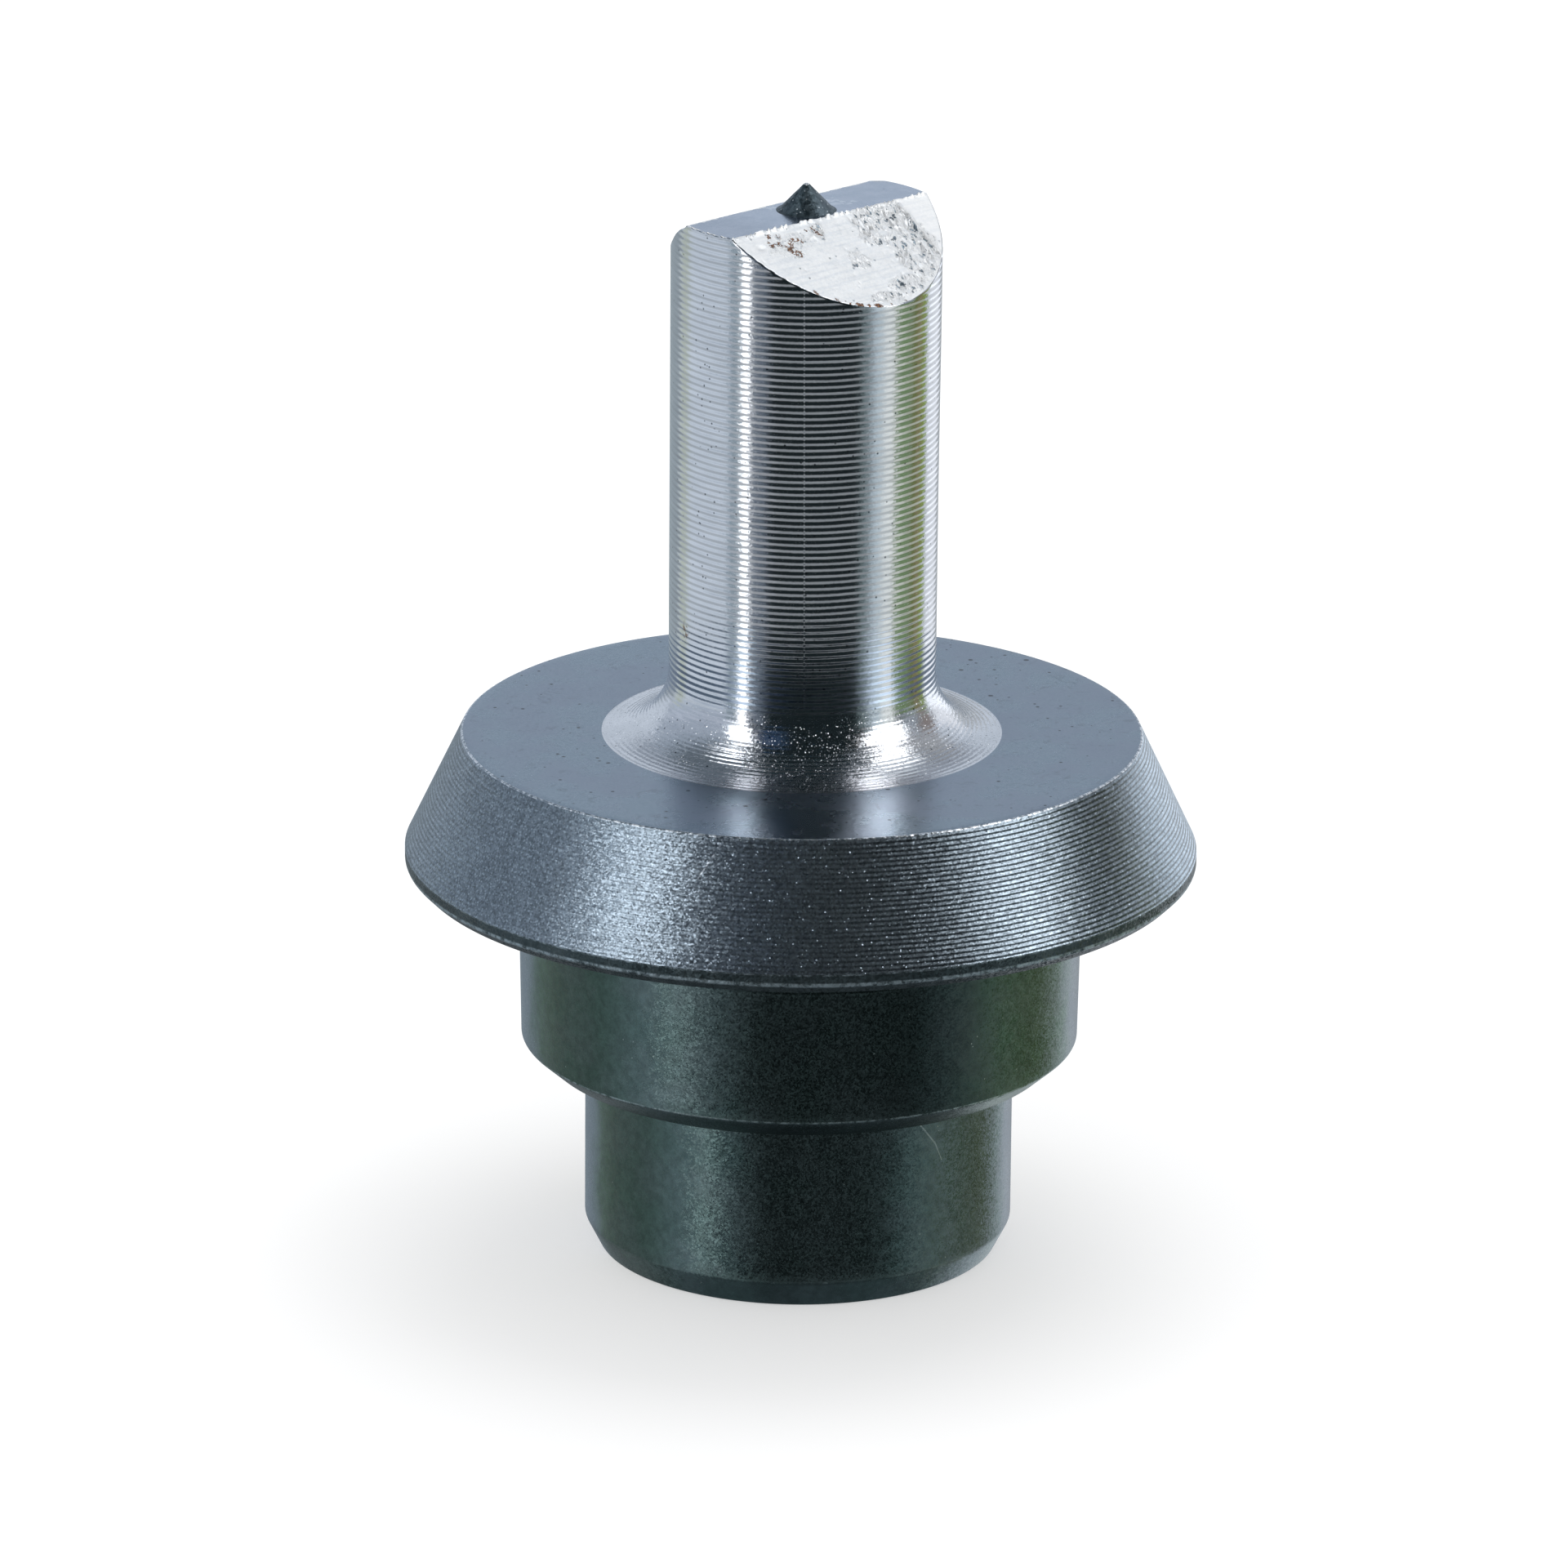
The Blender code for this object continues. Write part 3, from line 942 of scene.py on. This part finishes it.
def oxide_steel():
    """Near-black oxide of the shank and collar, mottled, with fine bright specks, painted highlights, sheen
    and reflection tint, and painted glints along its edges.
    """
    s = Surface("oxide_steel")
    n = s.n
    cloud = n.noise(s.p, 0.4, 5, 0.6)
    turned = n.math("DIVIDE", s.rightward(), n.most(s.r, 1))
    # Painted reflection tint: the colour is greener towards both sides, plainer in the middle and on the
    # shank's right.
    green = n.blend(cloud, 0.35, 0.65, (0.046, 0.077, 0.058), (0.058, 0.084, 0.07))
    plain = n.blend(cloud, 0.35, 0.65, (0.05, 0.073, 0.07), (0.058, 0.078, 0.078))
    dark_side = n.band(turned, -0.66, 0.62, 0.3)
    on_shank = n.times(n.ramp(s.z, SHOULDER_Z, SHOULDER_Z - 0.2), n.ramp(turned, 0, 0.3))
    colour = n.mix(n.most(dark_side, on_shank), green, plain)
    # Painted sheen: a cooler, lighter band towards the right of the shank.
    painted_cool_sheen = n.times(on_shank, n.band(turned, 0.68, 0.9, 0.12))
    colour = n.cover(colour, painted_cool_sheen, 0.6, (0.06, 0.075, 0.084))
    mottle = n.ramp(n.noise(s.p, 2.2, 4, 0.65), 0.3, 0.7, 0.84, 1.16)
    # Painted highlight and shade: the colour is brightened and darkened by side, at the limbs and on the
    # chamfers.
    colour = n.scale(colour, n.times(oxide_painted_light(s, turned), mottle))

    # Painted reflection: the colour turns light blue-grey towards both limbs.
    painted_limb_sheen = n.ramp(n.plus(n.absolute(turned), n.times(n.minus(cloud, 0.5), 0.1)), 0.91, 0.985)
    on_right = n.math("GREATER_THAN", turned, 0)
    colour = n.cover(colour, painted_limb_sheen, 0.9, n.mix(on_right, (0.33, 0.38, 0.44), (0.22, 0.26, 0.305)))
    speck = n.most(s.dots(0.5, 0.22, 0.07, 17), s.dots(1.1, 0.3, 0.05, 29))
    colour = n.cover(colour, speck, 0.7, (0.4, 0.45, 0.42))
    # Painted glints: broken light lines along the top of the collar's chamfer and, fainter, of the shank's.
    collar_edge = s.edge_line(SHOULDER_Z + COLLAR_CHAMFER[1] + 0.02, 0.075, 0.37)
    shank_edge = s.edge_line(SHANK_CHAMFER[1], 0.07, 0.5)
    wear_and_edge_glint = n.most(collar_edge, n.times(shank_edge, 0.6))
    colour = n.mix(wear_and_edge_glint, colour, (0.3, 0.36, 0.36))
    hair = n.most(s.segment(HAIR[0], HAIR[1], 0.045), s.segment(HAIR[1], HAIR[2], 0.035))
    colour = n.cover(colour, hair, 0.55, (0.3, 0.34, 0.33))

    s.tilt(n.times(s.groove_wave(s.z, COLLAR_FEED), n.ramp(s.z, 15.8, 16.6, 0, 0.16)))
    s.grain(0.07, 0.145)
    return s.finish(colour, n.ramp(cloud, 0.3, 0.7, 0.24, 0.3), 1)


def facet_mask(s):
    """1 on the shear faces and on the burrs that turn up from them, 0 on the land."""
    n = s.n
    back = n.minus(s.y, n.plus(LAND_BACK, n.times(s.x, LAND_SKEW)))
    beyond = n.most(n.minus(LAND_FRONT, s.y), back)
    side = n.math("SIGN", s.y)
    row = n.combine(n.times(s.x, 3.1), n.times(side, 7), 0.5)
    tooth = n.cells(row).outputs["Distance"]
    length = n.ramp(n.noise(n.combine(s.x, side, 0), 0.9, 2), 0.35, 0.65, 0.05, 0.16)
    reach = n.times(n.ramp(tooth, 0.08, 0.55, 0, 1, False), length)
    facet = n.ramp(n.plus(beyond, reach), 0, 0.02)
    left_rim = n.times(n.ramp(s.r, 5.8, 5.87), n.ramp(s.x, -4.6, -5.2))
    left_rim = n.times(left_rim, n.ramp(n.noise(s.p, 3.5, 2), 0.42, 0.52))
    facet = n.most(facet, left_rim)

    flat = n.minus(1, n.ramp(beyond, -0.01, 0.01))
    away_side = n.math("SIGN", n.minus(s.y, 1.2))
    lean = n.times(n.times(facet, flat), n.times(away_side, 0.55))
    s.lean(n.combine(0, lean, 0))
    return facet


def land_colour(s):
    """The smooth grey land, with a few brighter patches."""
    n = s.n
    land = n.blend(n.noise(s.p, 1.1, 4, 0.6), 0.35, 0.65, (0.5, 0.56, 0.66), (0.56, 0.61, 0.71))
    land = n.scale(land, n.ramp(s.x, -4.6, -2, 0.88, 1))
    land = n.cover(land, s.dots(0.45, 0.1, 0.16, 9), 0.5, (0.2, 0.22, 0.26))
    patch = n.ramp(n.noise(s.p, 2.4, 3, 0.6), 0.44, 0.56)
    for x, y, size in LAND_PATCHES:
        away = n.vector("LENGTH", n.vector("SUBTRACT", s.p, (x, y, LAND_Z)))
        near = n.ramp(away, size * 0.4, size, 1, 0)
        land = n.cover(land, n.times(near, patch), 0.7, (0.8, 0.85, 0.9))
    return land


def point_steel():
    """The point: a smooth grey land, and torn bright shear faces whose edge is burred, with rust specks."""
    s = Surface("point_steel")
    n = s.n
    facet = facet_mask(s)
    chips = n.noise(n.combine(n.times(s.x, 4.6), n.times(s.y, 3), 0), 1, 4, 0.62)
    wear_and_edge_glint = n.plus(s.weight("torn"), n.times(n.noise(s.p, 1.6, 2, 0.6), 0.8))
    where = n.times(n.ramp(wear_and_edge_glint, 0.72, 0.92), n.ramp(s.x, -2.2, -0.6, 0.3, 1))
    hole = n.times(n.ramp(chips, 0.39, 0.412, 1, 0), where)
    lip = n.times(n.band(chips, 0.43, 0.53, 0.03), n.times(where, facet))

    away = n.minus(n.plus(s.x, n.times(s.y, RIDGE_LEAN)), RIDGE_AT_AXIS)
    away = n.plus(away, n.times(n.minus(n.noise(s.p, 1.4, 2), 0.5), 0.5))
    along = n.times(n.ramp(s.y, -1.6, -1.9), n.ramp(s.y, -4.5, -4))
    groove = n.ramp(n.absolute(n.plus(away, 0.17)), 0.06, 0.12, 1, 0)
    groove = n.times(groove, along, n.ramp(chips, 0.58, 0.53))
    ridge = n.times(n.ramp(n.absolute(away), 0.03, 0.12, 1, 0), along)
    pit = s.dots(0.45, 0.3, 0.14, 13)
    hole = n.times(n.most(hole, n.times(groove, 0.95), n.times(pit, 0.6)), facet)

    fine = n.noise(s.p, 5, 4, 0.65)
    bright = n.blend(fine, 0.3, 0.55, (0.86, 0.88, 0.9), (0.95, 0.955, 0.96))
    lines = n.noise(n.combine(n.times(s.x, 0.35), n.times(s.y, 7), 0), 1, 3)
    bright = n.mix(n.ramp(lines, 0.46, 0.62, 0, 0.35), bright, (0.74, 0.78, 0.83))
    # Painted shadow and highlight: the pits and the groove beside the ridge are dark blue-grey, and the
    # rims round the pits and the ridge are white.
    shade = n.blend(n.noise(s.p, 6, 2), 0.4, 0.6, (0.05, 0.09, 0.13), (0.3, 0.41, 0.5))
    pocked = n.mix(lip, n.cover(bright, hole, 0.88, shade), WHITE)
    pocked = n.cover(pocked, n.ramp(s.x, 4, 4.4), 0.4, WHITE)
    pocked = n.cover(pocked, ridge, 0.7, WHITE)
    colour = s.rusted(n.mix(facet, land_colour(s), pocked))

    plain = n.plus(n.times(fine, 0.1), n.times(lines, 0.25))
    relief = n.minus(n.times(plain, 0.25), hole)
    relief = n.plus(relief, n.times(lip, 0.5), n.times(ridge, 0.8))
    s.bump(n.times(facet, relief), 0.035)
    s.grain(0.08, 0.05)
    metallic = n.ramp(facet, 0, 1, 1, n.ramp(s.x, 3.9, 4.3, 0.58, 0.43))
    return s.finish(colour, n.ramp(facet, 0, 1, 0.2, 0.38), metallic)


def spike_steel():
    """Dark centre spike, mottled, with a painted highlight down its right side and at its tip."""
    s = Surface("spike_steel")
    n = s.n
    colour = n.blend(n.noise(s.p, 4, 4, 0.6), 0.35, 0.65, (0.035, 0.055, 0.065), (0.11, 0.145, 0.165))
    # Painted highlight: the colour is lighter towards the right side.
    colour = n.mix(n.ramp(s.rightward(), 0, 0.8, 0, 0.5), colour, (0.17, 0.215, 0.25))
    colour = n.cover(colour, s.dots(0.16, 0.25, 0.3, 7), 0.7, (0.7, 0.76, 0.8))
    # Painted highlight: a near-white tip.
    tip = n.ramp(s.z, LAND_Z + SPIKE_HEIGHT - 0.08, LAND_Z + SPIKE_HEIGHT - 0.03)
    colour = n.mix(tip, colour, (0.85, 0.87, 0.9))
    s.grain(0.07, 0.3)
    return s.finish(colour, 0.42, 0.85)


# The scene

MAKERS = {"oxide": oxide_steel, "lip": lip_steel, "flank": flank_steel, "edge": edge_steel,
          "face": face_steel, "turned": turned_steel, "point": point_steel, "spike": spike_steel}
SHARP_ANGLE = math.radians(30)


def place(name, data):
    """A new object in the scene."""
    thing = bpy.data.objects.new(name, data)
    bpy.context.collection.objects.link(thing)
    return thing


def make_piece(name, b):
    """One object from a built mesh, riding on the punch's only body."""
    mesh = bpy.data.meshes.new(name)
    mesh.from_pydata([tuple(c * MM for c in p) for p in b.points], [], b.faces)
    order = sorted(set(b.finishes))
    for finish in order:
        mesh.materials.append(MAKERS[finish]())
    mesh.polygons.foreach_set("material_index", [order.index(f) for f in b.finishes])
    for label, weigh in (("rust", rust_weight), ("torn", torn_weight)):
        layer = mesh.attributes.new(label, "FLOAT", "POINT")
        layer.data.foreach_set("value", weigh(np.array(b.points, float)).astype(np.float32))
    mesh.shade_smooth()
    mesh.set_sharp_from_angle(angle=SHARP_ANGLE)
    mesh.update()
    piece = place(name, mesh)
    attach(piece, "root")
    return piece


def make_punch():
    """The two finished meshes, which stand for the one solid of the punch."""
    holder = make_piece("punch_holder_end", build_holder())
    make_piece("punch_working_end", build_working_end())
    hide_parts("piercing_punch")


# Studio

# The floor, a pale square far wider than the picture, a hair below the punch
FLOOR_HALF = 4
FLOOR_Z = -0.00002
FLOOR_GREY = 0.6
FLOOR_GLOW = 0.46

# The one lamp, which casts the soft shadow and isn't mirrored
KEY_SIZE = 0.5
KEY_POWER = 1.6
KEY_PLACE = (0.25, 0.1, 0.7)
KEY_AIM = (0, 0, 0.02)

# The photo's camera, fitted to the punch's outline: it looks along its bearing, and down by its slope
CAMERA_PLACE = (-0.3114915, -0.3331001, 0.1742415)
CAMERA_BEARING = math.radians(42.9822)
CAMERA_SLOPE = math.radians(18.5024)
CAMERA_ROLL = math.radians(0.4767)
CAMERA_LENS = 245.19

# What lights the dull surfaces, and what the bright steel mirrors where no panel stands
PLAIN_SKY = (0.86, 0.87, 0.88)
BACKDROP = (0.1, 0.12, 0.14)

# Soft panels that the bright steel mirrors, each laid over those before it: colour, azimuth from and to,
# elevation from and to, both in degrees, and how soft each pair of sides is. Azimuth is 0 on the camera's
# side, and right is positive.
PANELS = [
    ((0.14, 0.165, 0.2), 95, 265, 8, 66, 20, 14),
    ((0.12, 0.15, 0.18), -265, -62, 8, 70, 16, 14),
    ((0.3, 0.36, 0.43), -150, -62, 8, 42, 16, 14),
    ((0.32, 0.36, 0.42), 150, 265, 8, 44, 16, 14),
    ((0.33, 0.38, 0.45), -265, -150, 8, 40, 16, 14),
    ((0.33, 0.35, 0.37), 104, 150, 8, 42, 14, 12),
    ((0.58, 0.65, 0.74), 100, 265, -30, 26, 20, 12),
    ((0.58, 0.65, 0.74), -265, -134, -8, 26, 12, 12),
    ((0.27, 0.31, 0.35), 92, 122, 4, 24, 10, 8),
    ((0.25, 0.22, 0.21), 110, 128, 4, 24, 8, 8),
    ((0.33, 0.39, 0.43), -265, -134, -30, -8, 8, 14),
    ((0.5, 0.56, 0.66), -134, -62, -2, 25, 12, 14),
    ((0.4, 0.47, 0.56), -134, -62, -4, 7, 12, 6),
    ((0.34, 0.4, 0.48), -140, -68, 13, 26, 14, 8),
    ((0.61, 0.69, 0.78), -134, -64, -30, -2, 5, 12),
    ((0.48, 0.54, 0.48), -131, -118, -30, -2, 8, 8),
    ((0.24, 0.31, 0.36), -67, -54, -30, 9, 6, 8),
    ((0.5, 0.57, 0.66), -67, -56, 9, 24, 6, 8),
    ((0.01, 0.016, 0.018), -47, 56, -30, 91, 6, 6),
    ((0.03, 0.036, 0.038), -47, 56, -30, -12, 6, 6),
    ((0.13, 0.16, 0.2), -50, -32, -30, 16, 10, 10),
    ((0.03, 0.055, 0.105), -40, -16, 22, 50, 16, 14),
    ((0.16, 0.21, 0.22), 49, 58, -30, 20, 8, 10),
    ((0.5, 0.6, 0.66), 58, 74, -30, 22, 10, 12),
    ((0.82, 0.87, 0.86), 70, 84, -30, 22, 8, 12),
    ((0.16, 0.25, 0.12), 84, 101, -30, 2, 6, 10),
    ((0.13, 0.17, 0.05), 101, 126, -30, 2, 6, 10),
    ((0.28, 0.22, 0.15), 110, 115, -30, 2, 6, 10),
    ((0.24, 0.34, 0.06), 117, 124, -30, -2, 6, 10),
    ((0.84, 0.88, 0.94), 130, 158, -36, 14, 6, 12),
    ((0.42, 0.45, 0.48), 158, 200, -36, 10, 6, 10),
    ((1.2, 1.27, 1.37), 125, 165, -12, -1, 8, 6),
    ((3.2, 3.28, 3.35), -54, -48.8, -30, 30, 5, 10),
    ((5.2, 5.4, 5.6), -62, -47, 20, 36, 10, 8),
    ((2.3, 2.4, 2.5), -65, -46, 30, 46, 8, 10),
    ((2.5, 2.62, 2.74), -92, -70, 50, 66, 12, 10),
    ((5.1, 5.25, 5.4), 65, 90, 18, 32, 10, 8),
    ((2.6, 2.65, 2.7), 58, 98, 28, 46, 12, 10),
    ((2.15, 2.2, 2.25), 84, 128, 47, 64, 14, 10),
    ((0.62, 0.68, 0.74), 128, 166, 46, 66, 14, 10),
    ((0.02, 0.03, 0.035), -181, 181, 71, 91, 1, 8),
    ((0.3, 0.33, 0.35), -181, 181, -91, -24, 1, 7),
    ((0.24, 0.27, 0.3), -181, -136, -91, -22, 8, 8),
    ((0.5, 0.56, 0.62), -136, -62, -91, -24, 8, 8),
    ((0.62, 0.66, 0.69), -62, -46, -91, -24, 5, 7),
    ((0.4, 0.43, 0.46), -46, -26, -91, -24, 8, 7),
    ((0.62, 0.68, 0.7), 66, 86, -91, -24, 8, 7),
    ((0.74, 0.78, 0.72), 86, 100, -91, -21, 6, 7),
    ((0.48, 0.52, 0.43), 100, 126, -91, -21, 6, 7),
    ((0.7, 0.75, 0.8), 126, 172, -91, -22, 8, 7),
    ((0.13, 0.155, 0.175), -181, 181, -91, -48, 1, 16),
]


def make_floor():
    h = FLOOR_HALF
    mesh = bpy.data.meshes.new("floor")
    mesh.from_pydata([(-h, -h, 0), (h, -h, 0), (h, h, 0), (-h, h, 0)], [], [(0, 1, 2, 3)])
    floor = place("floor", mesh)
    floor.location.z = FLOOR_Z
    material = bpy.data.materials.new("pale_floor")
    material.use_nodes = True
    shader = material.node_tree.nodes["Principled BSDF"]
    shader.inputs["Base Color"].default_value = (FLOOR_GREY, FLOOR_GREY, FLOOR_GREY, 1)
    shader.inputs["Roughness"].default_value = 1
    shader.inputs["Specular IOR Level"].default_value = 0
    shader.inputs["Emission Color"].default_value = (1, 1, 1, 1)
    shader.inputs["Emission Strength"].default_value = FLOOR_GLOW
    mesh.materials.append(material)
    floor.visible_glossy = False


def make_world():
    """A plain sky for dull surfaces, and the studio panels for whatever mirrors them."""
    world = bpy.data.worlds.new("studio")
    bpy.context.scene.world = world
    world.use_nodes = True
    n = Nodes(world.node_tree)
    direction = n.add("ShaderNodeTexCoord").outputs["Generated"]
    turn = n.math("ARCTAN2", n.dot(direction, VIEW_RIGHT), n.dot(direction, VIEW_NEAR))
    azimuth = n.times(turn, 180 / math.pi)
    rise = n.math("ARCSINE", n.dot(direction, (0, 0, 1)))
    elevation = n.times(rise, 180 / math.pi)
    colour = BACKDROP
    for tint, a0, a1, e0, e1, soft_a, soft_e in PANELS:
        weight = n.times(n.band(azimuth, a0, a1, soft_a), n.band(elevation, e0, e1, soft_e))
        colour = n.mix(weight, colour, tint)
    plain = n.add("ShaderNodeBackground")
    n.link(PLAIN_SKY, plain.inputs["Color"])
    panels = n.add("ShaderNodeBackground")
    n.link(colour, panels.inputs["Color"])
    either = n.add("ShaderNodeMixShader")
    n.link(n.add("ShaderNodeLightPath").outputs["Is Glossy Ray"], either.inputs[0])
    n.link(plain.outputs[0], either.inputs[1])
    n.link(panels.outputs[0], either.inputs[2])
    out = n.add("ShaderNodeOutputWorld")
    n.link(either.outputs[0], out.inputs[0])
    world.cycles.sampling_method = "NONE"


def make_lights():
    data = bpy.data.lights.new("soft_key", "AREA")
    data.shape = "RECTANGLE"
    data.size = KEY_SIZE
    data.size_y = KEY_SIZE
    data.energy = KEY_POWER
    key = place("soft_key", data)
    key.location = KEY_PLACE
    aim = Vector(KEY_AIM) - key.location
    key.rotation_euler = aim.to_track_quat("-Z", "Y").to_euler()
    key.visible_glossy = False


def make_camera():
    data = bpy.data.cameras.new("camera")
    data.sensor_fit = "HORIZONTAL"
    data.sensor_width = 36
    data.lens = CAMERA_LENS
    data.clip_start = 0.01
    data.clip_end = 50
    camera = place("camera", data)
    level_reach = math.cos(CAMERA_SLOPE)
    forward = Vector((math.sin(CAMERA_BEARING) * level_reach, math.cos(CAMERA_BEARING) * level_reach,
                      -math.sin(CAMERA_SLOPE)))
    level = forward.cross(Vector((0, 0, 1))).normalized()
    upward = level.cross(forward)
    right = level * math.cos(CAMERA_ROLL) + upward * math.sin(CAMERA_ROLL)
    up = right.cross(forward)
    turn = Matrix((right, up, -forward)).transposed()
    camera.matrix_world = Matrix.Translation(Vector(CAMERA_PLACE)) @ turn.to_4x4()
    bpy.context.scene.camera = camera


make_punch()
make_floor()
make_world()
make_lights()
make_camera()
bpy.context.scene.view_settings.view_transform = "Standard"
